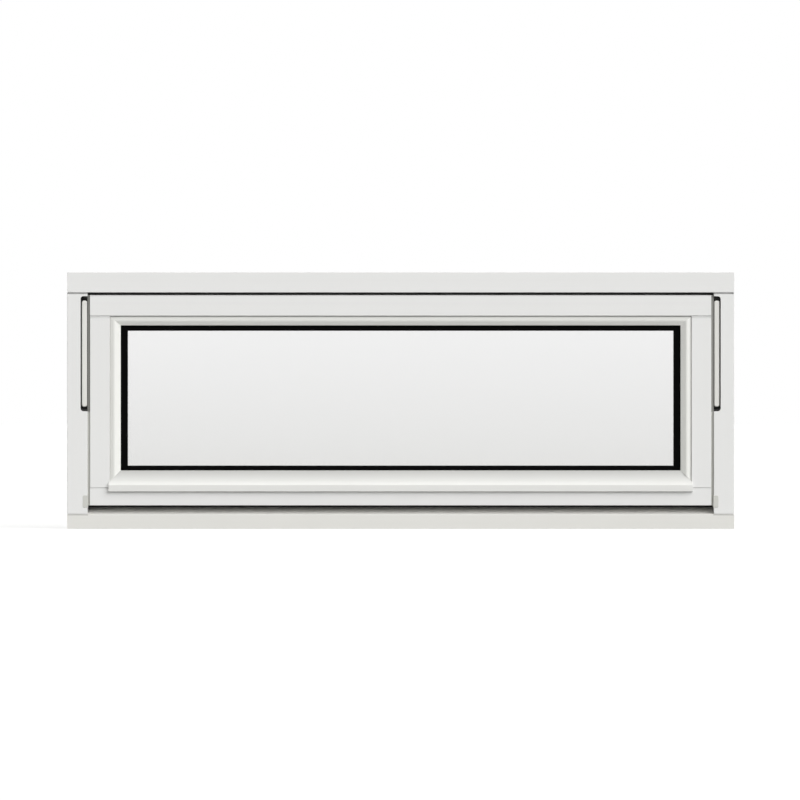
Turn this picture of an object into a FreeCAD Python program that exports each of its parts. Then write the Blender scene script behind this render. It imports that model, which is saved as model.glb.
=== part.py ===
import FreeCAD, Part
import math
import os
from FreeCAD import Vector

# Top hung awning window, seen from outside along +Y.
# X runs across the window, the outside faces -Y, Z is up.
# The origin is the centre of the sill's underside. All sizes are in millimetres.

# Fixed frame
frame_width = 1300.0
frame_height = 500.0
frame_depth = 115.0
jamb_face = 39.7
head_face = 39.5
stop_cover = 10.0
stop_gap = 3.5
sill_front_height = 28.4
sill_back_height = 40.5
drip_groove_width = 6.0
drip_groove_depth = 5.0
drip_groove_setback = 8.0
frame_arris = 1.0
joint_groove_depth = 4.0
joint_groove_inset = 2.0
head_groove_width = 3.0
sill_groove_width = 0.8

# Sash
side_gap = 4.9
head_gap = 5.0
sill_gap = 5.0
sash_depth = 60.0
sash_setback = 2.0
member_width = 60.0
top_rail_face = 41.2
stile_face = 38.4
bottom_rail_face = 34.1
inner_lip_depth = 17.5
sash_arris = 1.0
rebate_arris = 0.6
top_joint_arris = 2.5
bottom_joint_arris = 1.2

# Pane
pane_edge_clearance = 4.0
glass_thickness = 4.0
glass_cavity = 16.0
gasket_thickness = 3.0
tape_thickness = 3.0
spacer_width = 29.0
band_side = 13.8
band_top = 10.5
band_bottom = 9.4
setting_block_length = 100.0
setting_block_offset = 400.0

# Glazing beads
side_bead_width = 21.2
top_bead_width = 17.8
bead_edge_height = 4.5
bead_edge_round = 1.0
bead_crest_height = 12.2
bead_crest_offset = 9.0
bead_crest_round = 6.5
bead_outer_height = 9.2
bead_outer_round = 0.8
bead_quirk_width = 1.2
bead_quirk_height = 7.4
drip_bead_height = 34.1
drip_nose_height = 13.2
drip_nose_drop = 7.3
drip_nose_projection = 7.0
drip_nose_overhang = 2.0
drip_nose_arris = 1.5
drip_nose_round = 3.0
drip_shoulder_rise = 7.5
drip_shoulder_projection = 1.0
drip_shoulder_round = 4.0

# Side arms, each in a slot of its jamb
slot_head_gap = 7.2
slot_back_clearance = 6.0
slot_corner = 6.0
track_thickness = 2.0
track_end_gap = 4.0
arm_length = 207.0
arm_top_clearance = 8.4
arm_foot_clearance = 8.8
arm_side_clearance = 2.5
arm_width = 10.0
arm_thickness = 12.0
arm_setback = 3.0
arm_gap_clearance = 1.0
arm_corner = 4.0
arm_arris = 2.0
pin_radius = 2.5
pin_cover = 5.0
pin_end_distance = 10.0
bracket_length = 36.0
bracket_height = 14.0
bracket_thickness = 2.5
bracket_clearance = 0.5

# Guide blocks at the foot of each jamb
guide_bottom = 41.0
guide_height = 24.0
guide_width = 10.0
guide_depth = 18.0
guide_proud = 0.5
guide_gap_reach = 1.0
guide_corner = 3.0
guide_arris = 0.8

# Seals
seal_cover_inset = 2.0
seal_edge_clearance = 1.0
edge_seal_depth = 4.0
edge_seal_setback = 6.0

# Handle on the room side
handle_plate_width = 112.0
handle_plate_height = 28.0
handle_plate_thickness = 8.0
handle_plate_arris = 2.5
handle_plate_corner = 12.0
handle_neck_radius = 9.0
handle_reach = 34.0
handle_lever_length = 118.0
handle_lever_width = 20.0
handle_lever_thickness = 11.0
handle_lever_arris = 3.0
handle_screw_spacing = 88.0
handle_screw_radius = 4.0
handle_screw_countersink = 1.5

# Fixing holes through the jambs
fixing_hole_radius = 4.0
fixing_hole_inset = 45.0

# Lengths below this count as none
tolerance = 0.01

# Positions worked out from the sizes above
half_width = frame_width / 2
outside_face = -frame_depth / 2
inside_face = frame_depth / 2
head_underside = frame_height - head_face
sash_half_width = half_width - jamb_face - side_gap
sash_bottom = sill_back_height + sill_gap
sash_top = head_underside - head_gap
sash_front = outside_face + sash_setback
sash_back = sash_front + sash_depth
stop_face = sash_back + stop_gap
lip_front = sash_back - inner_lip_depth
inner_glass_back = lip_front - tape_thickness
inner_glass_front = inner_glass_back - glass_thickness
outer_glass_back = inner_glass_front - glass_cavity
outer_glass_front = outer_glass_back - glass_thickness
gasket_front = outer_glass_front - gasket_thickness
rebate_half_width = sash_half_width - stile_face
rebate_top = sash_top - top_rail_face
rebate_bottom = sash_bottom + bottom_rail_face
lip_half_width = sash_half_width - member_width
lip_top = sash_top - member_width
lip_bottom = sash_bottom + member_width
bead_half_width = rebate_half_width - side_bead_width
bead_inner_top = rebate_top - top_bead_width
bead_inner_bottom = rebate_bottom + drip_bead_height
stop_half_width = sash_half_width - stop_cover
stop_top = sash_top - stop_cover
stop_bottom = sash_bottom + stop_cover
slot_top = head_underside - slot_head_gap
arm_top = slot_top - arm_top_clearance
arm_bottom = arm_top - arm_length
slot_bottom = arm_bottom - arm_foot_clearance
arm_inner = half_width - jamb_face + arm_gap_clearance
arm_outer = arm_inner + arm_width
slot_outer = arm_outer + arm_side_clearance
arm_front = outside_face + arm_setback
arm_back = arm_front + arm_thickness
bracket_front = arm_back + bracket_clearance
bracket_back = bracket_front + bracket_thickness
track_front = bracket_back + slot_back_clearance
slot_back = track_front + track_thickness
handle_height = (stop_bottom + lip_bottom) / 2


# A closed face from corner points, each corner with its own radius.
def rounded_face(points, radii):
    corners = []
    count = len(points)
    for index in range(count):
        point = points[index]
        radius = radii[index]
        if radius <= 0:
            corners.append((point, point, None))
            continue
        before = (points[index - 1] - point).normalize()
        after = (points[(index + 1) % count] - point).normalize()
        half_angle = before.getAngle(after) / 2
        reach = radius / math.tan(half_angle)
        centre = point + (before + after).normalize() * (radius / math.sin(half_angle))
        middle = centre + (point - centre).normalize() * radius
        corners.append((point + before * reach, point + after * reach, middle))
    edges = []
    for index in range(count):
        start, end, middle = corners[index]
        if middle is not None:
            edges.append(Part.Arc(start, middle, end).toShape())
        following = corners[(index + 1) % count][0]
        if end.distanceToPoint(following) > tolerance:
            edges.append(Part.LineSegment(end, following).toShape())
    return Part.Face(Part.Wire(edges))


# A bar along X from a section of (y, z, radius) corners.
def bar_along_x(section, left, right):
    points = [Vector(left, y, z) for y, z, radius in section]
    radii = [radius for y, z, radius in section]
    return rounded_face(points, radii).extrude(Vector(right - left, 0, 0))


# A bar along Z from a section of (x, y, radius) corners.
def bar_along_z(section, bottom, top):
    points = [Vector(x, y, bottom) for x, y, radius in section]
    radii = [radius for x, y, radius in section]
    return rounded_face(points, radii).extrude(Vector(0, 0, top - bottom))


# A plate facing Y from an outline of (x, z, radius) corners.
def plate_along_y(outline, front, back):
    points = [Vector(x, front, z) for x, z, radius in outline]
    radii = [radius for x, z, radius in outline]
    return rounded_face(points, radii).extrude(Vector(0, back - front, 0))


def block(left, right, front, back, bottom, top):
    return Part.makeBox(right - left, back - front, top - bottom, Vector(left, front, bottom))


def cylinder(centre, direction, radius, length):
    return Part.makeCylinder(radius, length, centre, direction)


# A rectangular ring facing Y, whose outer and inner half widths, bottoms and tops are given.
def ring(outer, inner, front, back):
    outer_half, outer_bottom, outer_top = outer
    inner_half, inner_bottom, inner_top = inner
    body = block(-outer_half, outer_half, front, back, outer_bottom, outer_top)
    return body.cut(block(-inner_half, inner_half, front, back, inner_bottom, inner_top))


def mirrored(shape):
    return shape.mirror(Vector(0, 0, 0), Vector(1, 0, 0))


# The edges of a shape that lie at a chosen place with all their ends.
def edges_where(shape, chosen):
    return [edge for edge in shape.Edges if all(chosen(vertex.Point) for vertex in edge.Vertexes)]


# Fixed frame

# The square section of the head, which the jambs are cut to.
def head_space():
    space = block(-half_width, half_width, outside_face, stop_face, head_underside, frame_height)
    return space.fuse(block(-half_width, half_width, stop_face, inside_face, stop_top, frame_height))


# The square section of the sill, sloping down to the outside.
def sill_space():
    section = [
        (outside_face, 0, 0),
        (outside_face, sill_front_height, 0),
        (stop_face, sill_back_height, 0),
        (stop_face, stop_bottom, 0),
        (inside_face, stop_bottom, 0),
        (inside_face, 0, 0),
    ]
    return bar_along_x(section, -half_width, half_width)


def make_head():
    section = [
        (outside_face, head_underside, frame_arris),
        (outside_face, frame_height, frame_arris),
        (inside_face, frame_height, 0),
        (inside_face, stop_top, frame_arris),
        (stop_face, stop_top, frame_arris),
        (stop_face, head_underside, 0),
    ]
    return bar_along_x(section, -half_width, half_width)


def make_sill():
    section = [
        (outside_face, 0, 0),
        (outside_face, sill_front_height, frame_arris),
        (stop_face, sill_back_height, 0),
        (stop_face, stop_bottom, frame_arris),
        (inside_face, stop_bottom, frame_arris),
        (inside_face, 0, 0),
    ]
    groove_front = outside_face + drip_groove_setback
    groove = block(
        -half_width, half_width, groove_front, groove_front + drip_groove_width, 0, drip_groove_depth
    )
    return bar_along_x(section, -half_width, half_width).cut(groove)


# The slot is open towards the sash and has round outer corners.
def slot_space():
    outline = [
        (-slot_outer, slot_bottom, slot_corner),
        (-slot_outer, slot_top, slot_corner),
        (-sash_half_width, slot_top, 0),
        (-sash_half_width, slot_bottom, 0),
    ]
    return plate_along_y(outline, outside_face, slot_back)


def guide_outline():
    outer = half_width - jamb_face + guide_width - guide_gap_reach
    inner = half_width - jamb_face - guide_gap_reach
    top = guide_bottom + guide_height
    return [
        (-outer, guide_bottom, guide_corner),
        (-outer, top, guide_corner),
        (-inner, top, 0),
        (-inner, guide_bottom, 0),
    ]


# The narrow groove that marks a joint on the outside face of the jamb.
def joint_groove(bottom, top):
    left = -half_width + joint_groove_inset
    right = -half_width + jamb_face
    return block(left, right, outside_face, outside_face + joint_groove_depth, bottom, top)


def fixing_hole_heights():
    return [stop_bottom + fixing_hole_inset, stop_top - fixing_hole_inset]


def make_left_jamb():
    section = [
        (-half_width, outside_face, frame_arris),
        (-half_width, inside_face, 0),
        (-stop_half_width, inside_face, frame_arris),
        (-stop_half_width, stop_face, frame_arris),
        (-half_width + jamb_face, stop_face, 0),
        (-half_width + jamb_face, outside_face, frame_arris),
    ]
    jamb = bar_along_z(section, 0, frame_height).cut(head_space()).cut(sill_space())
    jamb = jamb.cut(slot_space())
    jamb = jamb.cut(plate_along_y(guide_outline(), outside_face, outside_face + guide_depth))
    jamb = jamb.cut(joint_groove(head_underside - head_groove_width, head_underside))
    jamb = jamb.cut(joint_groove(sill_front_height, sill_front_height + sill_groove_width))
    for height in fixing_hole_heights():
        start = Vector(-half_width, (stop_face + inside_face) / 2, height)
        jamb = jamb.cut(cylinder(start, Vector(1, 0, 0), fixing_hole_radius, frame_width / 2))
    return jamb


# Sash

def make_top_rail():
    section = [
        (sash_front, rebate_top, top_joint_arris),
        (sash_front, sash_top, sash_arris),
        (sash_back, sash_top, sash_arris),
        (sash_back, lip_top, sash_arris),
        (lip_front, lip_top, 0),
        (lip_front, rebate_top, 0),
    ]
    return bar_along_x(section, -sash_half_width, sash_half_width)


def make_bottom_rail():
    section = [
        (sash_front, sash_bottom, sash_arris),
        (sash_front, rebate_bottom, bottom_joint_arris),
        (lip_front, rebate_bottom, 0),
        (lip_front, lip_bottom, 0),
        (sash_back, lip_bottom, sash_arris),
        (sash_back, sash_bottom, sash_arris),
    ]
    return bar_along_x(section, -sash_half_width, sash_half_width)


# The stile stands between the rails and fits their section at both ends.
def make_left_stile():
    section = [
        (-sash_half_width, sash_front, sash_arris),
        (-sash_half_width, sash_back, sash_arris),
        (-lip_half_width, sash_back, sash_arris),
        (-lip_half_width, lip_front, 0),
        (-rebate_half_width, lip_front, 0),
        (-rebate_half_width, sash_front, rebate_arris),
    ]
    side = [
        (sash_front, rebate_bottom, bottom_joint_arris),
        (sash_front, rebate_top, top_joint_arris),
        (lip_front, rebate_top, 0),
        (lip_front, lip_top, 0),
        (sash_back, lip_top, 0),
        (sash_back, lip_bottom, 0),
        (lip_front, lip_bottom, 0),
        (lip_front, rebate_bottom, 0),
    ]
    return bar_along_z(section, sash_bottom, sash_top).common(bar_along_x(side, -sash_half_width, 0))


# Glazing beads

# The section of a bead, from the rebate to the glass: a quirk, a rounded crest and a slope.
def bead_section():
    return [
        (0, gasket_front, 0),
        (0, gasket_front - bead_quirk_height, 0),
        (bead_quirk_width, gasket_front - bead_quirk_height, 0),
        (bead_quirk_width, gasket_front - bead_outer_height, bead_outer_round),
        (bead_crest_offset, gasket_front - bead_crest_height, bead_crest_round),
        (side_bead_width, gasket_front - bead_edge_height, bead_edge_round),
        (side_bead_width, gasket_front, 0),
    ]


def make_left_bead():
    section = [(offset - rebate_half_width, y, radius) for offset, y, radius in bead_section()]
    bar = bar_along_z(section, rebate_bottom, rebate_top)
    mitre = side_mitre_height()
    outline = [
        (-rebate_half_width, mitre, 0),
        (-rebate_half_width, rebate_top, 0),
        (-bead_half_width, bead_inner_top, 0),
        (-bead_half_width, bead_inner_bottom, 0),
    ]
    return bar.common(plate_along_y(outline, outside_face, gasket_front))


# The height at which the mitre of the bottom bead meets the rebate's side.
def side_mitre_height():
    return bead_inner_bottom - side_bead_width


def make_top_bead():
    scale = top_bead_width / side_bead_width
    section = [(y, rebate_top - offset * scale, radius) for offset, y, radius in bead_section()]
    bar = bar_along_x(section, -rebate_half_width, rebate_half_width)
    outline = [
        (-rebate_half_width, rebate_top, 0),
        (rebate_half_width, rebate_top, 0),
        (bead_half_width, bead_inner_top, 0),
        (-bead_half_width, bead_inner_top, 0),
    ]
    return bar.common(plate_along_y(outline, outside_face, gasket_front))


# The bottom bead slopes from the glass to a shoulder and a nose that hangs in front of the rail.
def make_drip_bead():
    nose_front = sash_front - drip_nose_projection
    nose_bottom = rebate_bottom - drip_nose_drop
    nose_top = nose_bottom + drip_nose_height
    section = [
        (gasket_front, rebate_bottom, 0),
        (gasket_front, bead_inner_bottom, 0),
        (gasket_front - bead_edge_height, bead_inner_bottom, bead_edge_round),
        (sash_front - drip_shoulder_projection, nose_top + drip_shoulder_rise, drip_shoulder_round),
        (nose_front, nose_top, drip_nose_round),
        (nose_front, nose_bottom, drip_nose_arris),
        (sash_front, nose_bottom, 0),
        (sash_front, rebate_bottom, 0),
    ]
    nose_half_width = rebate_half_width + drip_nose_overhang
    bar = bar_along_x(section, -nose_half_width, nose_half_width)
    shoulder = side_mitre_height() - drip_nose_overhang
    outline = [
        (-nose_half_width, nose_bottom, 0),
        (-nose_half_width, shoulder, 0),
        (-bead_half_width, bead_inner_bottom, 0),
        (bead_half_width, bead_inner_bottom, 0),
        (nose_half_width, shoulder, 0),
        (nose_half_width, nose_bottom, 0),
    ]
    bar = bar.common(plate_along_y(outline, nose_front, gasket_front))
    for left, right in [(-nose_half_width, -rebate_half_width), (rebate_half_width, nose_half_width)]:
        bar = bar.cut(block(left, right, sash_front, gasket_front, nose_bottom, bead_inner_bottom))
    return bar


# Pane

def pane_outline():
    half = rebate_half_width - pane_edge_clearance
    return half, rebate_bottom + pane_edge_clearance, rebate_top - pane_edge_clearance


def make_glass(front, back):
    half, bottom, top = pane_outline()
    return block(-half, half, front, back, bottom, top)


def make_spacer():
    half, bottom, top = pane_outline()
    inner_half = half - spacer_width
    inner_bottom = bead_inner_bottom + band_bottom - gasket_thickness
    inner_top = bead_inner_top - band_top + gasket_thickness
    inner = (inner_half, inner_bottom, inner_top)
    return ring(pane_outline(), inner, outer_glass_back, inner_glass_front)


def make_gasket():
    inner_half = bead_half_width - band_side
    inner = (inner_half, bead_inner_bottom + band_bottom, bead_inner_top - band_top)
    return ring(pane_outline(), inner, gasket_front, outer_glass_front)


def make_tape():
    inner = (lip_half_width, lip_bottom, lip_top)
    return ring(pane_outline(), inner, inner_glass_back, lip_front)


def make_setting_blocks():
    blocks = []
    for centre in [-setting_block_offset, setting_block_offset]:
        left = centre - setting_block_length / 2
        right = centre + setting_block_length / 2
        top = rebate_bottom + pane_edge_clearance
        blocks.append(block(left, right, gasket_front, inner_glass_back, rebate_bottom, top))
    return Part.makeCompound(blocks)


# Side arms

def make_left_track():
    outline = [
        (-slot_outer, slot_bottom + track_end_gap, slot_corner),
        (-slot_outer, slot_top - track_end_gap, slot_corner),
        (-half_width + jamb_face, slot_top - track_end_gap, 0),
        (-half_width + jamb_face, slot_bottom + track_end_gap, 0),
    ]
    return plate_along_y(outline, track_front, slot_back)


def arm_centre():
    return -(arm_inner + arm_outer) / 2


def pin_heights():
    return [arm_bottom + pin_end_distance, arm_top - pin_end_distance]


def make_left_arm():
    outline = [
        (-arm_outer, arm_bottom, arm_corner),
        (-arm_outer, arm_top, arm_corner),
        (-arm_inner, arm_top, arm_corner),
        (-arm_inner, arm_bottom, arm_corner),
    ]
    arm = plate_along_y(outline, arm_front, arm_back)
    arm = arm.makeFillet(arm_arris, edges_where(arm, lambda p: abs(p.y - arm_front) < tolerance))
    for height in pin_heights():
        start = Vector(arm_centre(), arm_front + pin_cover, height)
        arm = arm.cut(cylinder(start, Vector(0, 1, 0), pin_radius, arm_thickness - pin_cover))
    return arm


# One pin holds the arm to the plate in the slot, the other to the bracket on the sash.
def make_left_pins():
    low, high = pin_heights()
    front = arm_front + pin_cover
    pins = []
    for height, back in [(low, track_front), (high, bracket_back)]:
        start = Vector(arm_centre(), front, height)
        pins.append(cylinder(start, Vector(0, 1, 0), pin_radius, back - front))
    return Part.makeCompound(pins)


# The bracket leads from the arm's top pin across the gap to the sash stile's edge.
def make_left_bracket():
    height = pin_heights()[1]
    bottom = height - bracket_height / 2
    top = height + bracket_height / 2
    tongue = block(-arm_outer, -sash_half_width, bracket_front, bracket_back, bottom, top)
    foot_outer = -sash_half_width - bracket_thickness
    foot_back = bracket_front + bracket_height
    foot = block(foot_outer, -sash_half_width, bracket_front, foot_back, top - bracket_length, top)
    start = Vector(arm_centre(), bracket_front, height)
    hole = cylinder(start, Vector(0, 1, 0), pin_radius, bracket_thickness)
    return tongue.fuse(foot).cut(hole).removeSplitter()


def make_left_guide():
    front = outside_face - guide_proud
    guide = plate_along_y(guide_outline(), front, outside_face + guide_depth)
    return guide.makeFillet(guide_arris, edges_where(guide, lambda p: abs(p.y - front) < tolerance))


# Seals

# The strips lie on the stop and reach out to the frame's rebate.
# The top and bottom ones run over the ends of the side ones.
def make_level_seal(bottom, top):
    half = half_width - jamb_face - seal_edge_clearance
    return block(-half, half, sash_back, stop_face, bottom, top)


def make_top_seal():
    return make_level_seal(stop_top + seal_cover_inset, head_underside - seal_edge_clearance)


def make_bottom_seal():
    return make_level_seal(sill_back_height + seal_edge_clearance, stop_bottom - seal_cover_inset)


def make_left_seal():
    left = -half_width + jamb_face + seal_edge_clearance
    right = -stop_half_width - seal_cover_inset
    bottom = stop_bottom - seal_cover_inset
    return block(left, right, sash_back, stop_face, bottom, stop_top + seal_cover_inset)


# The strip in the side gap runs the height of the sash, past the guide block.
def make_left_edge_seal():
    left = -half_width + jamb_face
    front = outside_face + edge_seal_setback
    strip = block(left, -sash_half_width, front, front + edge_seal_depth, sash_bottom, sash_top)
    return strip.cut(plate_along_y(guide_outline(), outside_face, outside_face + guide_depth))


# Handle

def make_handle_plate():
    half = handle_plate_width / 2
    bottom = handle_height - handle_plate_height / 2
    top = handle_height + handle_plate_height / 2
    outline = [
        (-half, bottom, handle_plate_corner),
        (-half, top, handle_plate_corner),
        (half, top, handle_plate_corner),
        (half, bottom, handle_plate_corner),
    ]
    plate = plate_along_y(outline, sash_back, sash_back + handle_plate_thickness)
    front = sash_back + handle_plate_thickness
    plate = plate.makeFillet(handle_plate_arris, edges_where(plate, lambda p: abs(p.y - front) < tolerance))
    for screw in handle_screw_centres():
        start = Vector(screw, front - handle_screw_countersink, handle_height)
        recess = cylinder(start, Vector(0, 1, 0), handle_screw_radius, handle_screw_countersink)
        plate = plate.cut(recess)
    return plate


def handle_screw_centres():
    return [-handle_screw_spacing / 2, handle_screw_spacing / 2]


def make_handle_lever():
    start = sash_back + handle_plate_thickness
    lever_front = sash_back + handle_reach
    neck_length = lever_front - start
    neck = cylinder(Vector(0, start, handle_height), Vector(0, 1, 0), handle_neck_radius, neck_length)
    end = handle_lever_width / 2
    corner = end - handle_lever_arris / 2
    bottom = handle_height - end
    top = handle_height + end
    outline = [
        (-end, bottom, corner),
        (-end, top, corner),
        (handle_lever_length, top, corner),
        (handle_lever_length, bottom, corner),
    ]
    lever = plate_along_y(outline, lever_front, lever_front + handle_lever_thickness)
    ends = (lever_front, lever_front + handle_lever_thickness)
    rims = edges_where(lever, lambda p: min(abs(p.y - ends[0]), abs(p.y - ends[1])) < tolerance)
    rims = [edge for edge in rims if abs(edge.Vertexes[0].Y - edge.Vertexes[-1].Y) < tolerance]
    lever = lever.makeFillet(handle_lever_arris, rims)
    return lever.fuse(neck).removeSplitter()


def make_handle_screws():
    front = sash_back + handle_plate_thickness - handle_screw_countersink
    screws = []
    for screw in handle_screw_centres():
        start = Vector(screw, front, handle_height)
        screws.append(cylinder(start, Vector(0, 1, 0), handle_screw_radius, handle_screw_countersink))
    return Part.makeCompound(screws)


def all_nodes():
    nodes = {
        "frame_head": make_head(),
        "frame_sill": make_sill(),
        "sash_top_rail": make_top_rail(),
        "sash_bottom_rail": make_bottom_rail(),
        "bead_top": make_top_bead(),
        "drip_bead": make_drip_bead(),
        "glass_outer": make_glass(outer_glass_front, outer_glass_back),
        "glass_inner": make_glass(inner_glass_front, inner_glass_back),
        "glass_spacer": make_spacer(),
        "glazing_gasket": make_gasket(),
        "glazing_tape": make_tape(),
        "setting_blocks": make_setting_blocks(),
        "weather_seal_top": make_top_seal(),
        "weather_seal_bottom": make_bottom_seal(),
        "handle_plate": make_handle_plate(),
        "handle_lever": make_handle_lever(),
        "handle_screws": make_handle_screws(),
    }
    sides = {
        "frame_jamb": make_left_jamb(),
        "sash_stile": make_left_stile(),
        "bead": make_left_bead(),
        "hinge_track": make_left_track(),
        "hinge_arm": make_left_arm(),
        "hinge_pins": make_left_pins(),
        "hinge_bracket": make_left_bracket(),
        "guide_block": make_left_guide(),
        "weather_seal": make_left_seal(),
        "edge_seal": make_left_edge_seal(),
    }
    for name, shape in sides.items():
        nodes[name + "_left"] = shape
        nodes[name + "_right"] = mirrored(shape)
    return nodes


os.makedirs("parts", exist_ok=True)
for name, shape in all_nodes().items():
    shape.exportStep("parts/" + name + ".step")
    print(name, len(shape.Solids), round(shape.Volume / 1000, 1))
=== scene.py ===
import math
import bmesh
import bpy
from mathutils import Matrix, Vector


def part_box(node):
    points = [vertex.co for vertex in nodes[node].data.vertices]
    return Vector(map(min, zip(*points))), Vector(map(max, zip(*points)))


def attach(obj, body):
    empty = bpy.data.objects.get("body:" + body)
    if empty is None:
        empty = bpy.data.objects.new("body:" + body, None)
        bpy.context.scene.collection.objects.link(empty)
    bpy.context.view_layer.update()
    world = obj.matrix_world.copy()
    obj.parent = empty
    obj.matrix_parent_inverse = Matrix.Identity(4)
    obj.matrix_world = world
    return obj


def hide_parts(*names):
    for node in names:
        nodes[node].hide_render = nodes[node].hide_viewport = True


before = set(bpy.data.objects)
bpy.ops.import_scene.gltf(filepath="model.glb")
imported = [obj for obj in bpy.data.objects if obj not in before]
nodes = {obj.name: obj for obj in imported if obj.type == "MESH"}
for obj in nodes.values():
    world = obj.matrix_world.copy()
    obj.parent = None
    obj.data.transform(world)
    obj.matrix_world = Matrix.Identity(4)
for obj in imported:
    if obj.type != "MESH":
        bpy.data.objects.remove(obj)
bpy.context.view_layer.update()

print("frame loaded with", len(nodes), "nodes")


# Shader helpers

def makeGroup(name, inputs, outputs):
    group = bpy.data.node_groups.new(name, "ShaderNodeTree")
    for label, kind, value in inputs:
        socket = group.interface.new_socket(name=label, in_out="INPUT", socket_type=kind)
        socket.default_value = value
    for label, kind in outputs:
        group.interface.new_socket(name=label, in_out="OUTPUT", socket_type=kind)
    start = group.nodes.new("NodeGroupInput")
    end = group.nodes.new("NodeGroupOutput")
    return group, start, end


def addNode(tree, kind, links=None, **settings):
    node = tree.nodes.new(kind)
    for key, value in settings.items():
        setattr(node, key, value)
    for socket, source in (links or {}).items():
        if isinstance(source, bpy.types.NodeSocket):
            tree.links.new(source, node.inputs[socket])
        else:
            node.inputs[socket].default_value = source
    return node


def mathNode(tree, operation, first, second=0.0, third=0.0, clamp=False):
    node = tree.nodes.new("ShaderNodeMath")
    node.operation = operation
    node.use_clamp = clamp
    for index, source in enumerate((first, second, third)):
        if isinstance(source, bpy.types.NodeSocket):
            tree.links.new(source, node.inputs[index])
        else:
            node.inputs[index].default_value = source
    return node.outputs[0]


def mixColour(tree, factor, first, second, blend="MIX"):
    node = tree.nodes.new("ShaderNodeMix")
    node.data_type = "RGBA"
    node.blend_type = blend
    for name, source in (("Factor_Float", factor), ("A_Color", first), ("B_Color", second)):
        socket = next(s for s in node.inputs if s.identifier == name)
        if isinstance(source, bpy.types.NodeSocket):
            tree.links.new(source, socket)
        else:
            socket.default_value = source
    return next(s for s in node.outputs if s.identifier == "Result_Color")


def toneColour(tree, colour, factor):
    factors = addNode(tree, "ShaderNodeCombineColor", {"Red": factor, "Green": factor, "Blue": factor})
    return mixColour(tree, 1.0, colour, factors.outputs["Color"], "MULTIPLY")


def newMaterial(name):
    material = bpy.data.materials.new(name)
    material.use_nodes = True
    tree = material.node_tree
    shader = tree.nodes["Principled BSDF"]
    return material, tree, shader


def rgba(red, green, blue):
    return (red, green, blue, 1.0)


# Groups shared by the finishes

noiseMiddle = 0.5  # a noise texture varies about this


# a group that gives a surface its colour, roughness and height
def makeSurfaceGroup(name, toneSpread, roughness, extraInputs=()):
    return makeGroup(
        name,
        [
            ("Vector", "NodeSocketVector", (0, 0, 0)),
            ("Colour", "NodeSocketColor", rgba(0.75, 0.75, 0.75)),
            ("Tone spread", "NodeSocketFloat", toneSpread),
            ("Roughness", "NodeSocketFloat", roughness),
            *extraInputs,
        ],
        [("Colour", "NodeSocketColor"), ("Roughness", "NodeSocketFloat"), ("Height", "NodeSocketFloat")],
    )


# a group that changes a colour by where it lies on the piece
def makeShadeGroup(name, extraInputs):
    return makeGroup(
        name,
        [
            ("Vector", "NodeSocketVector", (0, 0, 0)),
            ("Colour", "NodeSocketColor", rgba(0.75, 0.75, 0.75)),
            *extraInputs,
        ],
        [("Colour", "NodeSocketColor")],
    )


# brushed paint over planed timber: the pattern runs along X of the coordinates it is given
grainPattern = {
    "strokeScale": (9, 420, 420),  # marks to the metre along X and across
    "grainScale": (3, 130, 130),
    "cloudScale": 5.0,
    "poreScale": 900.0,
    "grainTone": 0.6,          # beside the clouds' 1
    "roughnessSpread": 0.14,
    "strokeHeight": 0.5,
    "grainHeight": 0.8,
    "poreHeight": 0.12,
}


def buildPaintedGrain():
    group, start, end = makeSurfaceGroup("painted grain", 0.02, 0.42)
    vector = start.outputs["Vector"]
    strokesAt = addNode(group, "ShaderNodeMapping", {
        "Vector": vector, "Scale": grainPattern["strokeScale"],
    })
    strokes = addNode(group, "ShaderNodeTexNoise", {
        "Vector": strokesAt.outputs["Vector"], "Scale": 1.0, "Detail": 3.0, "Roughness": 0.55,
    })
    grainAt = addNode(group, "ShaderNodeMapping", {
        "Vector": vector, "Scale": grainPattern["grainScale"],
    })
    grain = addNode(group, "ShaderNodeTexNoise", {
        "Vector": grainAt.outputs["Vector"], "Scale": 1.0, "Detail": 4.0, "Roughness": 0.6,
        "Distortion": 0.3,
    })
    clouds = addNode(group, "ShaderNodeTexNoise", {
        "Vector": vector, "Scale": grainPattern["cloudScale"], "Detail": 2.0,
    })
    pores = addNode(group, "ShaderNodeTexNoise", {
        "Vector": vector, "Scale": grainPattern["poreScale"], "Detail": 1.0,
    })
    # tone: slow clouds and a trace of the grain
    cloudy = mathNode(group, "SUBTRACT", clouds.outputs[0], noiseMiddle)
    grainy = mathNode(group, "SUBTRACT", grain.outputs[0], noiseMiddle)
    grainy = mathNode(group, "MULTIPLY", grainy, grainPattern["grainTone"])
    tone = mathNode(group, "ADD", cloudy, grainy)
    factor = mathNode(group, "MULTIPLY_ADD", tone, start.outputs["Tone spread"], 1.0)
    colour = toneColour(group, start.outputs["Colour"], factor)
    streaky = mathNode(group, "SUBTRACT", strokes.outputs[0], noiseMiddle)
    rough = mathNode(group, "MULTIPLY_ADD", streaky, grainPattern["roughnessSpread"],
                     start.outputs["Roughness"])
    height = mathNode(group, "MULTIPLY", grain.outputs[0], grainPattern["grainHeight"])
    height = mathNode(group, "MULTIPLY_ADD", strokes.outputs[0], grainPattern["strokeHeight"], height)
    height = mathNode(group, "MULTIPLY_ADD", pores.outputs[0], grainPattern["poreHeight"], height)
    group.links.new(colour, end.inputs["Colour"])
    group.links.new(rough, end.inputs["Roughness"])
    group.links.new(height, end.inputs["Height"])
    return group


# fine speckle and slow tone for moulded and cast things
skinPattern = {
    "cloudScale": 22.0,
    "speckleTone": 0.5,        # beside the clouds' 1
    "middleTone": 0.75,        # the mean of both, taken off
    "roughnessSpread": 0.2,
}


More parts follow.
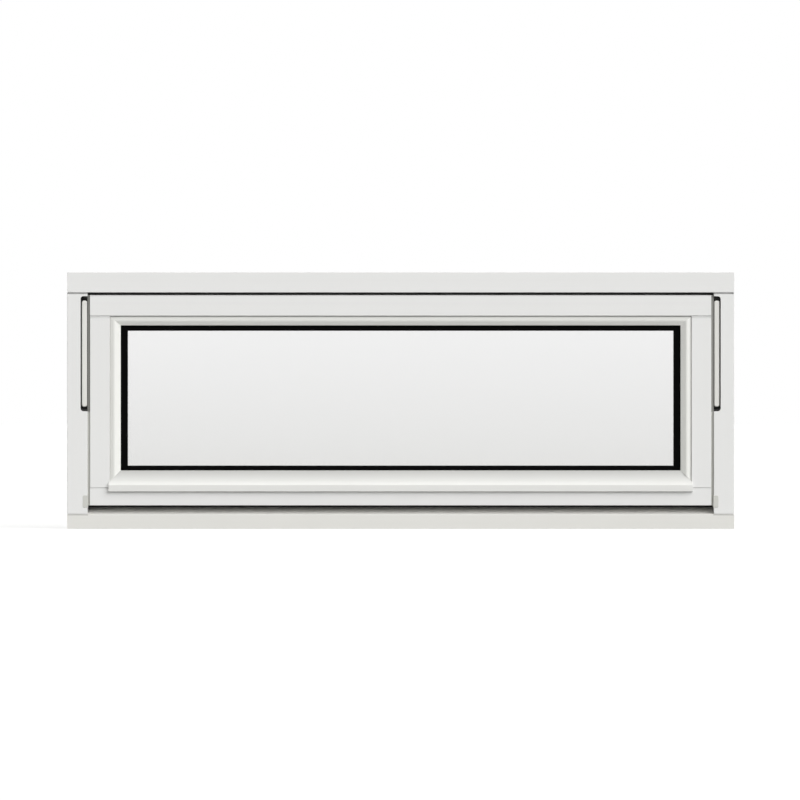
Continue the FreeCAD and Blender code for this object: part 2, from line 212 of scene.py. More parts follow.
def buildMouldedSkin():
    group, start, end = makeSurfaceGroup(
        "moulded skin", 0.06, 0.5, [("Fineness", "NodeSocketFloat", 900.0)],
    )
    vector = start.outputs["Vector"]
    speckle = addNode(group, "ShaderNodeTexNoise", {
        "Vector": vector, "Scale": start.outputs["Fineness"], "Detail": 2.0,
    })
    clouds = addNode(group, "ShaderNodeTexNoise", {
        "Vector": vector, "Scale": skinPattern["cloudScale"], "Detail": 3.0,
    })
    tone = mathNode(group, "MULTIPLY_ADD", speckle.outputs[0], skinPattern["speckleTone"],
                    clouds.outputs[0])
    tone = mathNode(group, "SUBTRACT", tone, skinPattern["middleTone"])
    factor = mathNode(group, "MULTIPLY_ADD", tone, start.outputs["Tone spread"], 1.0)
    colour = toneColour(group, start.outputs["Colour"], factor)
    rough = mathNode(group, "MULTIPLY_ADD", tone, skinPattern["roughnessSpread"],
                     start.outputs["Roughness"])
    group.links.new(colour, end.inputs["Colour"])
    group.links.new(rough, end.inputs["Roughness"])
    group.links.new(speckle.outputs[0], end.inputs["Height"])
    return group


# fine parallel scratches along X, for rolled and brushed metal
linePattern = {
    "scale": (20, 1800, 1800),  # marks to the metre along X and across
    "roughnessSpread": 0.3,
}


def buildBrushedLines():
    group, start, end = makeSurfaceGroup("brushed lines", 0.2, 0.3)
    linesAt = addNode(group, "ShaderNodeMapping", {
        "Vector": start.outputs["Vector"], "Scale": linePattern["scale"],
    })
    lines = addNode(group, "ShaderNodeTexNoise", {
        "Vector": linesAt.outputs["Vector"], "Scale": 1.0, "Detail": 3.0,
    })
    tone = mathNode(group, "SUBTRACT", lines.outputs[0], noiseMiddle)
    factor = mathNode(group, "MULTIPLY_ADD", tone, start.outputs["Tone spread"], 1.0)
    colour = toneColour(group, start.outputs["Colour"], factor)
    rough = mathNode(group, "MULTIPLY_ADD", tone, linePattern["roughnessSpread"],
                     start.outputs["Roughness"])
    group.links.new(colour, end.inputs["Colour"])
    group.links.new(rough, end.inputs["Roughness"])
    group.links.new(lines.outputs[0], end.inputs["Height"])
    return group


# a tone that changes between two heights and stays level beyond them
def buildHeightShade():
    group, start, end = makeShadeGroup("height shade", [
        ("Low", "NodeSocketFloat", 0.0),
        ("High", "NodeSocketFloat", 1.0),
        ("Low tone", "NodeSocketFloat", 1.0),
        ("High tone", "NodeSocketFloat", 1.0),
    ])
    height = addNode(group, "ShaderNodeSeparateXYZ", {"Vector": start.outputs["Vector"]})
    tone = addNode(group, "ShaderNodeMapRange", {
        "Value": height.outputs["Z"],
        "From Min": start.outputs["Low"],
        "From Max": start.outputs["High"],
        "To Min": start.outputs["Low tone"],
        "To Max": start.outputs["High tone"],
    })
    colour = toneColour(group, start.outputs["Colour"], tone.outputs[0])
    group.links.new(colour, end.inputs["Colour"])
    return group


# a tone for what lies in a box, fading in over a soft edge
def buildBoxShade():
    group, start, end = makeShadeGroup("box shade", [
        ("Low corner", "NodeSocketVector", (0, 0, 0)),
        ("High corner", "NodeSocketVector", (1, 1, 1)),
        ("Edge", "NodeSocketFloat", 0.001),
        ("Tone", "NodeSocketFloat", 0.5),
    ])
    vector = start.outputs["Vector"]
    above = addNode(group, "ShaderNodeVectorMath", {0: vector, 1: start.outputs["Low corner"]},
                    operation="SUBTRACT")
    below = addNode(group, "ShaderNodeVectorMath", {0: start.outputs["High corner"], 1: vector},
                    operation="SUBTRACT")
    nearest = addNode(group, "ShaderNodeVectorMath", {0: above.outputs[0], 1: below.outputs[0]},
                      operation="MINIMUM")
    parts = addNode(group, "ShaderNodeSeparateXYZ", {"Vector": nearest.outputs[0]})
    depth = mathNode(group, "MINIMUM", parts.outputs["X"], parts.outputs["Y"])
    depth = mathNode(group, "MINIMUM", depth, parts.outputs["Z"])
    inside = mathNode(group, "DIVIDE", depth, start.outputs["Edge"], clamp=True)
    change = mathNode(group, "SUBTRACT", start.outputs["Tone"], 1.0)
    tone = mathNode(group, "MULTIPLY_ADD", inside, change, 1.0)
    group.links.new(toneColour(group, start.outputs["Colour"], tone), end.inputs["Colour"])
    return group


paintedGrain = buildPaintedGrain()
heightShade = buildHeightShade()
boxShade = buildBoxShade()
mouldedSkin = buildMouldedSkin()
brushedLines = buildBrushedLines()


def useGroup(tree, group, vector, values):
    node = tree.nodes.new("ShaderNodeGroup")
    node.node_tree = group
    tree.links.new(vector, node.inputs["Vector"])
    for name, value in values.items():
        node.inputs[name].default_value = value
    return node


# object coordinates, moved along and, for uprights, turned
def boardCoordinates(tree, shift, upright):
    place = addNode(tree, "ShaderNodeTexCoord")
    turn = (0, math.radians(90), 0) if upright else (0, 0, 0)
    mapping = addNode(tree, "ShaderNodeMapping", {
        "Vector": place.outputs["Object"], "Location": shift, "Rotation": turn,
    })
    return mapping.outputs["Vector"]


def shadeByPlace(tree, group, colour, values):
    place = addNode(tree, "ShaderNodeTexCoord")
    shade = useGroup(tree, group, place.outputs["Object"], values)
    tree.links.new(colour, shade.inputs["Colour"])
    return shade.outputs["Colour"]


# two heights in metres, and the tones below the first and above the second
def shadeByHeight(tree, colour, low, high, lowTone, highTone):
    return shadeByPlace(tree, heightShade, colour, {
        "Low": low, "High": high, "Low tone": lowTone, "High tone": highTone,
    })


# the box's corners in metres, and how far inside its faces the tone is reached
def shadeInBox(tree, colour, low, high, edge, tone):
    return shadeByPlace(tree, boxShade, colour, {
        "Low corner": low, "High corner": high, "Edge": edge, "Tone": tone,
    })


def finishSurface(tree, shader, group, strength, depth):
    bump = addNode(tree, "ShaderNodeBump", {
        "Height": group.outputs["Height"], "Strength": strength, "Distance": depth,
    })
    tree.links.new(group.outputs["Roughness"], shader.inputs["Roughness"])
    tree.links.new(bump.outputs["Normal"], shader.inputs["Normal"])


# Painted timber, a material for each board

paintSettings = {
    "face": rgba(0.748, 0.748, 0.745),
    "sill": rgba(0.712, 0.706, 0.68),
    "bead": rgba(0.76, 0.76, 0.735),
    "roughness": 0.48,
    "gloss": 0.35,
    "toneSpread": 0.035,
    "strokeDepth": 0.00022,    # metres
    "strokeStrength": 0.5,
    "shiftPerBoard": (0.61, 0.23, 0.17),  # so that no two boards share a pattern
}

# painted shade under the top rail and painted light nearer the glass, heights above the top bead's foot
topShade = {
    "low": 0.0062,
    "high": 0.0142,
    "lowTone": 1.17,
    "highTone": 0.74,
}

# painted shade makes the slots of the side arms dark past the ends of the arms
slotShade = {
    "sideMargin": 0.0015,      # past the slot's track, in metres
    "endMargin": 0.006,
    "backMargin": 0.002,
    "faceDepth": 0.001,        # behind the jamb's face
    "edge": 0.001,
    "tone": 0.2,
}

# each board's colour, and whether its grain stands upright
boards = {
    "frame_head": ("face", False),
    "frame_sill": ("sill", False),
    "frame_jamb_left": ("face", True),
    "frame_jamb_right": ("face", True),
    "sash_top_rail": ("face", False),
    "sash_bottom_rail": ("face", False),
    "sash_stile_left": ("face", True),
    "sash_stile_right": ("face", True),
    "bead_top": ("bead", False),
    "bead_left": ("bead", True),
    "bead_right": ("bead", True),
}

# heights at which boards meet, from the solids
jambFoot, jambTop = (corner.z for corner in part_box("frame_jamb_left"))
stileFoot, stileTop = (corner.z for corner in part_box("sash_stile_left"))
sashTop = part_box("sash_top_rail")[1].z

# painted shade where boards meet and painted light on the sill in the gap, in metres: low and high
# are heights, depth counts back from the outside face, and the tone fades in over the edge
jointShades = [
    # in the joint to the head
    {"board": "frame_jamb", "low": jambTop - 0.0031, "high": jambTop - 0.0017, "depth": 0.0075,
     "edge": 0.0002, "tone": 0.4},
    # on the sill under the jambs
    {"board": "frame_sill", "low": jambFoot - 0.0038, "high": jambFoot + 0.0116, "depth": 0.0275,
     "edge": 0.002, "tone": 0.78, "underJambs": True},
    # painted light on the sill in the gap
    {"board": "frame_sill", "low": jambFoot + 0.0011, "high": jambFoot + 0.0216, "depth": 0.0675,
     "edge": 0.006, "tone": 1.32},
    # on the stiles, under the top rail
    {"board": "sash_stile", "low": stileTop - 0.0049, "high": stileTop + 0.0057, "depth": 0.0275,
     "edge": 0.002, "tone": 0.8},
    # on the stiles, over the bottom rail
    {"board": "sash_stile", "low": stileFoot - 0.0096, "high": stileFoot + 0.0019, "depth": 0.0275,
     "edge": 0.0005, "tone": 0.86},
    # on the bottom rail, under the stiles
    {"board": "sash_bottom_rail", "low": stileFoot - 0.0028, "high": stileFoot + 0.0104,
     "depth": 0.0275, "edge": 0.0005, "tone": 0.87},
    # along the upper edge of the sash
    {"board": "sash_top_rail", "low": sashTop - 0.0022, "high": sashTop + 0.0045, "depth": 0.0275,
     "edge": 0.0004, "tone": 0.74},
]
jointFront = 0.0085  # all of them begin this far in front of the outside face


def shadeUnderTopRail(tree, colour):
    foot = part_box("bead_top")[0].z
    return shadeByHeight(tree, colour, foot + topShade["low"], foot + topShade["high"],
                         topShade["lowTone"], topShade["highTone"])


def shadeInSlot(tree, colour, jamb):
    trackLow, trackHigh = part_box(jamb.replace("frame_jamb", "hinge_track"))
    armLow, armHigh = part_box(jamb.replace("frame_jamb", "hinge_arm"))
    low = trackLow - Vector((slotShade["sideMargin"], 0, slotShade["endMargin"]))
    low.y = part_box(jamb)[0].y + slotShade["faceDepth"]
    high = trackHigh + Vector((slotShade["sideMargin"], slotShade["backMargin"], slotShade["endMargin"]))
    foot = Vector((high.x, high.y, armLow.z))
    top = Vector((low.x, low.y, armHigh.z))
    for start, end in ((low, foot), (top, high)):
        colour = shadeInBox(tree, colour, start, end, slotShade["edge"], slotShade["tone"])
    return colour


def shadeInJoint(tree, colour, joint):
    frameLow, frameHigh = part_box("frame_head")
    near = frameLow.y - jointFront
    far = frameLow.y + joint["depth"]
    spans = [(frameLow.x, frameHigh.x)]
    if joint.get("underJambs"):  # up to the jambs' faces, which the edge seals touch
        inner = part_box("edge_seal_right")[1].x - joint["edge"]
        spans = [(frameLow.x, -inner), (inner, frameHigh.x)]
    for left, right in spans:
        colour = shadeInBox(tree, colour, (left, near, joint["low"]), (right, far, joint["high"]),
                            joint["edge"], joint["tone"])
    return colour


def makeBoardPaint(name, colour, upright, shift):
    material, tree, shader = newMaterial("paint on " + name.replace("_", " "))
    vector = boardCoordinates(tree, shift, upright)
    grain = useGroup(tree, paintedGrain, vector, {
        "Colour": colour,
        "Tone spread": paintSettings["toneSpread"],
        "Roughness": paintSettings["roughness"],
    })
    shaded = grain.outputs["Colour"]
    if name == "bead_top":
        shaded = shadeUnderTopRail(tree, shaded)
    if "jamb" in name:
        shaded = shadeInSlot(tree, shaded, name)
    for joint in jointShades:
        if name.startswith(joint["board"]):
            shaded = shadeInJoint(tree, shaded, joint)
    tree.links.new(shaded, shader.inputs["Base Color"])
    shader.inputs["Specular IOR Level"].default_value = paintSettings["gloss"]
    finishSurface(tree, shader, grain, paintSettings["strokeStrength"], paintSettings["strokeDepth"])
    return material


# Painted shade on the drip bead: darker towards the glass, and a little darker on the front of its nose

dripSettings = {
    "colour": rgba(0.748, 0.748, 0.732),
    # painted shade towards the glass
    "shadeAtGlass": 0.61,
    "shadeHeight": 0.026,      # down from the bead's top, in metres
    # painted shade on the front of the nose
    "noseShadeTone": 0.945,
    "noseHeight": 0.012,       # up from the bead's foot
    "noseBlend": 0.002,        # above and below that height
    "roughness": 0.36,
    "strokeStrength": 0.25,
    "shift": (0.37, 0.11, 0.05),
}


def makeDripPaint():
    material, tree, shader = newMaterial("paint on drip bead")
    vector = boardCoordinates(tree, dripSettings["shift"], False)
    grain = useGroup(tree, paintedGrain, vector, {
        "Colour": dripSettings["colour"],
        "Tone spread": paintSettings["toneSpread"],
        "Roughness": dripSettings["roughness"],
    })
    foot, top = (corner.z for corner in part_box("drip_bead"))
    noseTop = foot + dripSettings["noseHeight"]
    shaded = shadeByHeight(tree, grain.outputs["Colour"], top - dripSettings["shadeHeight"], top,
                           1.0, dripSettings["shadeAtGlass"])
    blend = dripSettings["noseBlend"]
    shaded = shadeByHeight(tree, shaded, noseTop - blend, noseTop + blend,
                           dripSettings["noseShadeTone"], 1.0)
    tree.links.new(shaded, shader.inputs["Base Color"])
    shader.inputs["Specular IOR Level"].default_value = paintSettings["gloss"]
    finishSurface(tree, shader, grain, dripSettings["strokeStrength"], paintSettings["strokeDepth"])
    return material


# Glass: a slight tint, with painted shade that deepens downwards, and it lets light through to what is
# behind

glassSettings = {
    "tintTop": rgba(0.937, 0.937, 0.937),
    "tintAndShadeBottom": rgba(0.838, 0.838, 0.829),
    "shadeCurve": 0.6,          # below 1 the painted shade gathers near the bottom
    "ior": 1.5,
    "shadowTint": rgba(0.94, 0.95, 0.94),
    "waveScale": 1.6,
    "waveDepth": 0.001,
    "waveStrength": 0.02,
}


def makeGlass():
    material, tree, shader = newMaterial("window glass")
    low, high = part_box("glass_outer")
    place = addNode(tree, "ShaderNodeTexCoord")
    height = addNode(tree, "ShaderNodeSeparateXYZ", {"Vector": place.outputs["Object"]})
    rise = addNode(tree, "ShaderNodeMapRange", {
        "Value": height.outputs["Z"], "From Min": low.z, "From Max": high.z,
    })
    waves = addNode(tree, "ShaderNodeTexNoise", {
        "Vector": place.outputs["Object"], "Scale": glassSettings["waveScale"], "Detail": 1.0,
    })
    share = mathNode(tree, "POWER", rise.outputs[0], glassSettings["shadeCurve"])
    colour = mixColour(tree, share, glassSettings["tintAndShadeBottom"], glassSettings["tintTop"])
    tree.links.new(colour, shader.inputs["Base Color"])
    shader.inputs["Transmission Weight"].default_value = 1.0
    shader.inputs["Metallic"].default_value = 0.0
    shader.inputs["Roughness"].default_value = 0.0
    shader.inputs["IOR"].default_value = glassSettings["ior"]
    bump = addNode(tree, "ShaderNodeBump", {
        "Height": waves.outputs[0],
        "Strength": glassSettings["waveStrength"],
        "Distance": glassSettings["waveDepth"],
    })
    tree.links.new(bump.outputs["Normal"], shader.inputs["Normal"])
    clear = addNode(tree, "ShaderNodeBsdfTransparent", {"Color": glassSettings["shadowTint"]})
    light = addNode(tree, "ShaderNodeLightPath")
    mix = addNode(tree, "ShaderNodeMixShader", {
        0: light.outputs["Is Shadow Ray"], 1: shader.outputs[0], 2: clear.outputs[0],
    })
    tree.links.new(mix.outputs[0], tree.nodes["Material Output"].inputs["Surface"])
    return material


# Rubber, plastic and metal

skinFinishes = {
    "black gasket": {"colour": rgba(0.002, 0.002, 0.002), "roughness": 0.7, "fineness": 1400.0,
                     "gloss": 0.02},
    "pane edge seal": {"colour": rgba(0.01, 0.01, 0.01), "roughness": 0.7, "fineness": 900.0,
                       "gloss": 0.1},
    "setting block": {"colour": rgba(0.06, 0.06, 0.065), "roughness": 0.5, "fineness": 1100.0},
    "weather seal": {"colour": rgba(0.05, 0.05, 0.05), "roughness": 0.65, "fineness": 1300.0,
                     "gloss": 0.15},
    "edge seal": {"colour": rgba(0.5, 0.5, 0.47), "roughness": 0.65, "fineness": 1300.0},
    "guide block": {"colour": rgba(0.56, 0.56, 0.53), "roughness": 0.5, "fineness": 1200.0},
    "arm coating": {"colour": rgba(0.695, 0.69, 0.665), "roughness": 0.38, "fineness": 1600.0},
    "handle coating": {"colour": rgba(0.76, 0.76, 0.75), "roughness": 0.3, "fineness": 1800.0,
                       "bump": 0.12},
}

metalFinishes = {
    # near black, which paints the deep shade in the slots where the track shows past the arms
    "track steel": {"colour": rgba(0.035, 0.035, 0.034), "roughness": 0.5},
    "pin steel": {"colour": rgba(0.55, 0.55, 0.54), "roughness": 0.3},
    "screw steel": {"colour": rgba(0.55, 0.55, 0.54), "roughness": 0.34},
}

# what a finish has where it names no value of its own, with depths and shifts in metres
commonFinish = {
    "gloss": 0.5,
    "bump": 0.3,
    "skinDepth": 0.0001,
    "skinShift": (0.1, 0.2, 0.3),
    "metalDepth": 0.00005,
    "metalShift": (0.3, 0.1, 0.2),
}

# painted shade makes the edge seal darker beside the side arms
edgeSealShade = {
    "below": 0.012,            # where the shade begins under the arm's foot, in metres
    "above": 0.008,            # and where it is full
    "tone": 0.45,
}

# painted light: the weather seal over the sash is made paler than the others, so that its gap shows less
# dark
topSealLight = {
    "blend": 0.001,            # under the foot of that seal, in metres
    "tone": 6.0,
}

# painted shade makes the recesses of the screws darker than the faces of their heads
recessShade = {
    "sideMargin": 0.01,
    "faceDepth": 0.0004,       # behind the front of the heads
    "edge": 0.0002,
    "tone": 0.12,
}


def shadeEdgeSeal(tree, colour):
    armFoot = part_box("hinge_arm_left")[0].z
    return shadeByHeight(tree, colour, armFoot - edgeSealShade["below"],
                         armFoot - edgeSealShade["above"], 1.0, edgeSealShade["tone"])


# painted light on the top seal, from its foot up
def paintLightOnTopSeal(tree, colour):
    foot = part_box("weather_seal_top")[0].z
    return shadeByHeight(tree, colour, foot - topSealLight["blend"], foot, 1.0, topSealLight["tone"])


def shadeScrewRecess(tree, colour):
    margin = recessShade["sideMargin"]
    low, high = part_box("handle_screws")
    low = low - Vector((margin, margin, margin))
    high = high + Vector((margin, -recessShade["faceDepth"], margin))
    return shadeInBox(tree, colour, low, high, recessShade["edge"], recessShade["tone"])


def makeSkin(name):
    values = skinFinishes[name]
    material, tree, shader = newMaterial(name)
    vector = boardCoordinates(tree, commonFinish["skinShift"], False)
    skin = useGroup(tree, mouldedSkin, vector, {
        "Colour": values["colour"], "Roughness": values["roughness"], "Fineness": values["fineness"],
    })
    shaded = skin.outputs["Colour"]
    if name == "edge seal":
        shaded = shadeEdgeSeal(tree, shaded)
    if name == "weather seal":
        shaded = paintLightOnTopSeal(tree, shaded)
    tree.links.new(shaded, shader.inputs["Base Color"])
    shader.inputs["Specular IOR Level"].default_value = values.get("gloss", commonFinish["gloss"])
    finishSurface(tree, shader, skin, values.get("bump", commonFinish["bump"]), commonFinish["skinDepth"])
    return material


def makeMetal(name):
    values = metalFinishes[name]
    material, tree, shader = newMaterial(name)
    vector = boardCoordinates(tree, commonFinish["metalShift"], True)
    lines = useGroup(tree, brushedLines, vector, {
        "Colour": values["colour"], "Roughness": values["roughness"],
    })
    shaded = lines.outputs["Colour"]
    if name == "screw steel":
        shaded = shadeScrewRecess(tree, shaded)
    tree.links.new(shaded, shader.inputs["Base Color"])
    shader.inputs["Metallic"].default_value = 1.0
    finishSurface(tree, shader, lines, commonFinish["bump"], commonFinish["metalDepth"])
    return material


# the nodes that each finish goes on
finishedNodes = {
    "glass": ["glass_outer", "glass_inner"],
    "pane edge seal": ["glass_spacer"],
    "black gasket": ["glazing_gasket", "glazing_tape"],
    "setting block": ["setting_blocks"],
    "weather seal": [
        "weather_seal_top", "weather_seal_bottom", "weather_seal_left", "weather_seal_right",
    ],
    "edge seal": ["edge_seal_left", "edge_seal_right"],
    "track steel": [
        "hinge_track_left", "hinge_track_right", "hinge_bracket_left", "hinge_bracket_right",
    ],
    "arm coating": ["hinge_arm_left", "hinge_arm_right"],
    "pin steel": ["hinge_pins_left", "hinge_pins_right"],
    "guide block": ["guide_block_left", "guide_block_right"],
    "handle coating": ["handle_plate", "handle_lever"],
    "screw steel": ["handle_screws"],
}


def paint(node, material):
    for slot in nodes[node].material_slots:
        slot.material = material


def finishNodes():
    for count, (node, (tone, upright)) in enumerate(boards.items()):
        shift = [step * count for step in paintSettings["shiftPerBoard"]]
        paint(node, makeBoardPaint(node, paintSettings[tone], upright, shift))
    paint("drip_bead", makeDripPaint())
    made = {"glass": makeGlass()}
    for name in skinFinishes:
        made[name] = makeSkin(name)
    for name in metalFinishes:
        made[name] = makeMetal(name)
    for finish, names in finishedNodes.items():
        for node in names:
            paint(node, made[finish])
    return made


finishes = finishNodes()
print("finishes set on", len(nodes), "nodes")


# Modelled pieces

creaseAngle = math.radians(40)  # edges that turn more than this stay sharp
mergeDistance = 0.000001        # metres
mmPerMetre = 1000


# puts a finished bmesh into the scene as a piece that rides with the window
def addPiece(name, shape, material, stoodFor):
    bmesh.ops.recalc_face_normals(shape, faces=shape.faces)
    for edge in shape.edges:
        edge.smooth = edge.calc_face_angle(math.pi) < creaseAngle
    mesh = bpy.data.meshes.new(name)
    shape.to_mesh(mesh)
    shape.free()
    for face in mesh.polygons:
        face.use_smooth = True
    mesh.materials.append(material)
    piece = bpy.data.objects.new(name, mesh)
    bpy.context.scene.collection.objects.link(piece)
    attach(piece, "root")
    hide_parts(*stoodFor)


# Handle lever: a flattened grip that waists behind its neck, on a turned neck

leverSettings = {
    "segments": 40,
    "backFromFront": 0.0055,   # from the front of the grip to the middle of its thickness
    "squareness": 0.72,        # 1 is an oval section, lower is boxier
    # along the grip: share of its length, half height, half thickness, in millimetres
    "stations": [
        (0.000, 1.5, 1.2), (0.004, 5.2, 3.2), (0.020, 8.0, 4.6), (0.045, 9.4, 5.3),
        (0.078, 9.9, 5.5), (0.130, 9.6, 5.4), (0.220, 8.1, 5.1), (0.340, 7.2, 4.8),
        (0.500, 7.0, 4.6), (0.680, 7.5, 4.6), (0.840, 8.3, 4.8), (0.925, 8.5, 4.8),
        (0.970, 7.6, 4.2), (0.992, 5.2, 2.9), (1.000, 1.5, 1.0),
    ],
    # down the neck: distance from the plate and radius, in millimetres
    "neck": [
        (0.0, 8.6), (0.5, 9.0), (2.6, 9.0), (3.4, 8.6), (4.2, 7.6),
        (9.0, 7.0), (18.0, 7.0), (23.0, 7.6), (27.5, 8.4),
    ],
    "neckSegments": 48,
}


def buildLever():
    low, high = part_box("handle_lever")
    centreZ = (low.z + high.z) / 2
    middleY = high.y - leverSettings["backFromFront"]
    length = high.x - low.x
    shape = bmesh.new()
    ring = bmesh.ops.create_circle(shape, segments=leverSettings["segments"], radius=1.0)["verts"]
    for vert in ring:
        across, up = vert.co.x, vert.co.y
        power = leverSettings["squareness"]
        across = math.copysign(abs(across) ** power, across)
        up = math.copysign(abs(up) ** power, up)
        vert.co = (0, across, up)
    edges = list(shape.edges)
    template = [vert.co.copy() for vert in ring]
    for index, (share, halfHeight, halfThickness) in enumerate(leverSettings["stations"]):
        if index:
            grown = bmesh.ops.extrude_edge_only(shape, edges=edges)["geom"]
            edges = [part for part in grown if isinstance(part, bmesh.types.BMEdge)]
            ring = [part for part in grown if isinstance(part, bmesh.types.BMVert)]
        for vert, base in zip(ring, template):
            vert.co = (
                low.x + share * length,
                middleY + base.y * halfThickness / mmPerMetre,
                centreZ + base.z * halfHeight / mmPerMetre,
            )
    bmesh.ops.holes_fill(shape, edges=shape.edges)
    return shape


def buildNeck():
    low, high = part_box("handle_lever")
    centreZ = (low.z + high.z) / 2
    shape = bmesh.new()
    line = [
        shape.verts.new((radius / mmPerMetre, low.y + out / mmPerMetre, centreZ))
        for out, radius in leverSettings["neck"]
    ]
    edges = [shape.edges.new(pair) for pair in zip(line, line[1:])]
    bmesh.ops.spin(
        shape, geom=line + edges, cent=(0, 0, centreZ), axis=(0, 1, 0), angle=math.tau,
        steps=leverSettings["neckSegments"], use_merge=True, use_duplicate=False,
    )
    bmesh.ops.remove_doubles(shape, verts=shape.verts, dist=mergeDistance)
    bmesh.ops.holes_fill(shape, edges=shape.edges)
    return shape


addPiece("handle_grip", buildLever(), finishes["handle coating"], ["handle_lever"])
addPiece("handle_neck", buildNeck(), finishes["handle coating"], ["handle_lever"])
print("handle lever built")


# Handle screws: countersunk heads with a six-lobed recess

screwSettings = {
    "segments": 60,
    "flatRadius": 0.86,        # share of the head's radius, inside its rounded rim
    "recessRadius": 0.5,       # share of the head's radius
    "lobes": 6,
    "lobeDepth": 0.13,         # share of the recess radius
    "recessDepth": 0.0012,
    "rimDrop": 0.00025,
    "rimGap": 0.0001,          # to the wall of the plate's recess
    "insetStart": 0.00002,     # only has to be small, as each ring is placed after its inset
}


def buildScrews():
    low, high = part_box("handle_screws")
    recess = (high.z - low.z) / 2
    radius = recess - screwSettings["rimGap"]
    centreZ = (low.z + high.z) / 2
    shape = bmesh.new()
    for centreX in (low.x + recess, high.x - recess):
        middle = Vector((centreX, high.y, centreZ))
        place = Matrix.Translation(middle) @ Matrix.Rotation(math.radians(-90), 4, "X")
        rim = bmesh.ops.create_circle(
            shape, segments=screwSettings["segments"], radius=radius, cap_ends=True, matrix=place,
        )["verts"]
        head = rim[0].link_faces[0]
        bmesh.ops.translate(shape, verts=rim, vec=(0, -screwSettings["rimDrop"], 0))
        for share in (screwSettings["flatRadius"], screwSettings["recessRadius"]):
            bmesh.ops.inset_region(
                shape, faces=[head], thickness=screwSettings["insetStart"], use_boundary=True,
            )
            for vert in head.verts:
                away = Vector((vert.co.x - centreX, 0, vert.co.z - centreZ)).normalized() * radius * share
                vert.co = middle + away
        for vert in head.verts:
            away = vert.co - middle
            turn = math.atan2(away.z, away.x)
            away *= 1 + screwSettings["lobeDepth"] * math.cos(screwSettings["lobes"] * turn)
            vert.co = middle + away
        walls = bmesh.ops.extrude_discrete_faces(shape, faces=[head])["faces"]
        bmesh.ops.translate(shape, verts=walls[0].verts, vec=(0, -screwSettings["recessDepth"], 0))
    rims = [edge for edge in shape.edges if edge.is_boundary]
    grown = bmesh.ops.extrude_edge_only(shape, edges=rims)["geom"]
    for vert in (part for part in grown if isinstance(part, bmesh.types.BMVert)):
        vert.co.y = low.y
    bmesh.ops.holes_fill(shape, edges=shape.edges)
    return shape


addPiece("handle_screw_heads", buildScrews(), finishes["screw steel"], ["handle_screws"])
print("handle screws built")


# Studio

floorSettings = {
    "size": 120.0,
    "drop": 0.0002,            # keeps it clear of the sill's underside
    "shade": 0.3,
    "glow": 0.71,              # lifts the lit floor to white and leaves the shadow
}


def makeFloor():
    mesh = bpy.data.meshes.new("floor")
    shape = bmesh.new()
    bmesh.ops.create_grid(shape, x_segments=1, y_segments=1, size=floorSettings["size"] / 2)
    shape.to_mesh(mesh)
    shape.free()
    floor = bpy.data.objects.new("floor", mesh)
    floor.location.z = -floorSettings["drop"]
    bpy.context.scene.collection.objects.link(floor)
    material, tree, shader = newMaterial("pale floor")
    shade = floorSettings["shade"]
    matte = addNode(tree, "ShaderNodeBsdfDiffuse", {"Color": rgba(shade, shade, shade)})
    light = addNode(tree, "ShaderNodeLightPath")
    seenAs = mathNode(tree, "MAXIMUM", light.outputs["Is Camera Ray"], light.outputs["Is Glossy Ray"])
    glow = addNode(tree, "ShaderNodeEmission", {
        "Strength": mathNode(tree, "MULTIPLY", seenAs, floorSettings["glow"]),
    })
    both = addNode(tree, "ShaderNodeAddShader", {0: matte.outputs[0], 1: glow.outputs[0]})
    white = addNode(tree, "ShaderNodeEmission", {"Strength": 1.0})  # what the panes show behind them
    seen = addNode(tree, "ShaderNodeMixShader", {
        0: light.outputs["Is Transmission Ray"], 1: both.outputs[0], 2: white.outputs[0],
    })
    tree.nodes.remove(shader)
    tree.links.new(seen.outputs[0], tree.nodes["Material Output"].inputs["Surface"])
    mesh.materials.append(material)


skySettings = {
    "strength": 0.47,
    "tint": (1.0, 1.0, 0.95),  # warms the shade a little, not what is seen of the sky
}


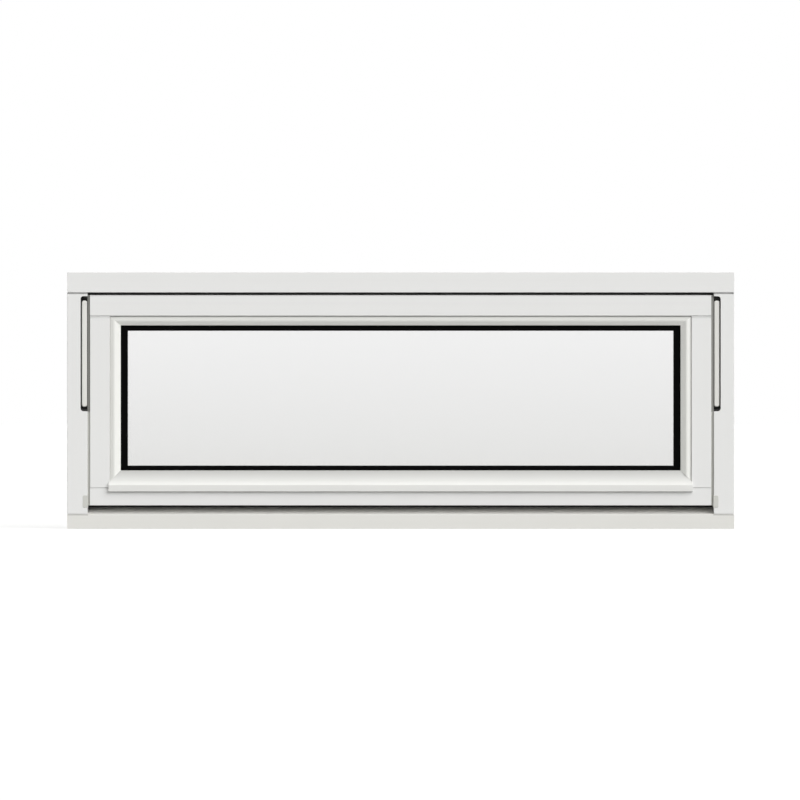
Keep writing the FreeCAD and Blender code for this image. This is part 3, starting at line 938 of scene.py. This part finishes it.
def makeSky():
    world = bpy.data.worlds.new("studio sky")
    bpy.context.scene.world = world
    world.use_nodes = True
    tree = world.node_tree
    background = tree.nodes["Background"]
    light = addNode(tree, "ShaderNodeLightPath")
    seen = mathNode(tree, "MAXIMUM", light.outputs["Is Camera Ray"], light.outputs["Is Glossy Ray"])
    seen = mathNode(tree, "MAXIMUM", seen, light.outputs["Is Transmission Ray"])
    rise = 1.0 - skySettings["strength"]
    strength = mathNode(tree, "MULTIPLY_ADD", seen, rise, skySettings["strength"])
    tint = mixColour(tree, seen, rgba(*skySettings["tint"]), rgba(1, 1, 1))
    tree.links.new(tint, background.inputs["Color"])
    tree.links.new(strength, background.inputs["Strength"])


# softness in degrees across
lamps = {
    "soft key": {"strength": 2.66, "softness": 56.0, "comesFrom": (0.86, -1.0, 0.86)},
    # above the camera, or the panes would mirror it
    "front fill": {"strength": 0.22, "softness": 16.0, "comesFrom": (0.0, -1.0, 0.21)},
    # only lights the room side
    "soft back light": {"strength": 2.1, "softness": 60.0, "comesFrom": (-0.6, 1.0, 0.3)},
}


def makeSun(name, strength, softness, comesFrom):
    data = bpy.data.lights.new(name, "SUN")
    data.energy = strength
    data.angle = math.radians(softness)
    sun = bpy.data.objects.new(name, data)
    bpy.context.scene.collection.objects.link(sun)
    sun.rotation_mode = "QUATERNION"
    sun.rotation_quaternion = Vector(comesFrom).to_track_quat("Z", "Y")


# the view of the photograph: straight on from outside, with a long lens
viewSettings = {
    "distance": 15.0,          # from the outside face
    "widthSeen": 1.5588,       # metres across the picture at that face
    "sideShift": -0.0012,
    "eyeHeight": 0.251,
    "farLimit": 200.0,
}


def makeCamera():
    data = bpy.data.cameras.new("camera")
    data.lens = data.sensor_width * viewSettings["distance"] / viewSettings["widthSeen"]
    data.clip_end = viewSettings["farLimit"]
    camera = bpy.data.objects.new("camera", data)
    bpy.context.scene.collection.objects.link(camera)
    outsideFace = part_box("frame_head")[0].y
    camera.location = (
        viewSettings["sideShift"],
        outsideFace - viewSettings["distance"],
        viewSettings["eyeHeight"],
    )
    camera.rotation_euler = (math.radians(90), 0, 0)
    bpy.context.scene.camera = camera


makeFloor()
makeSky()
for name, values in lamps.items():
    makeSun(name, **values)
makeCamera()
bpy.context.scene.view_settings.view_transform = "Standard"
print("studio set")
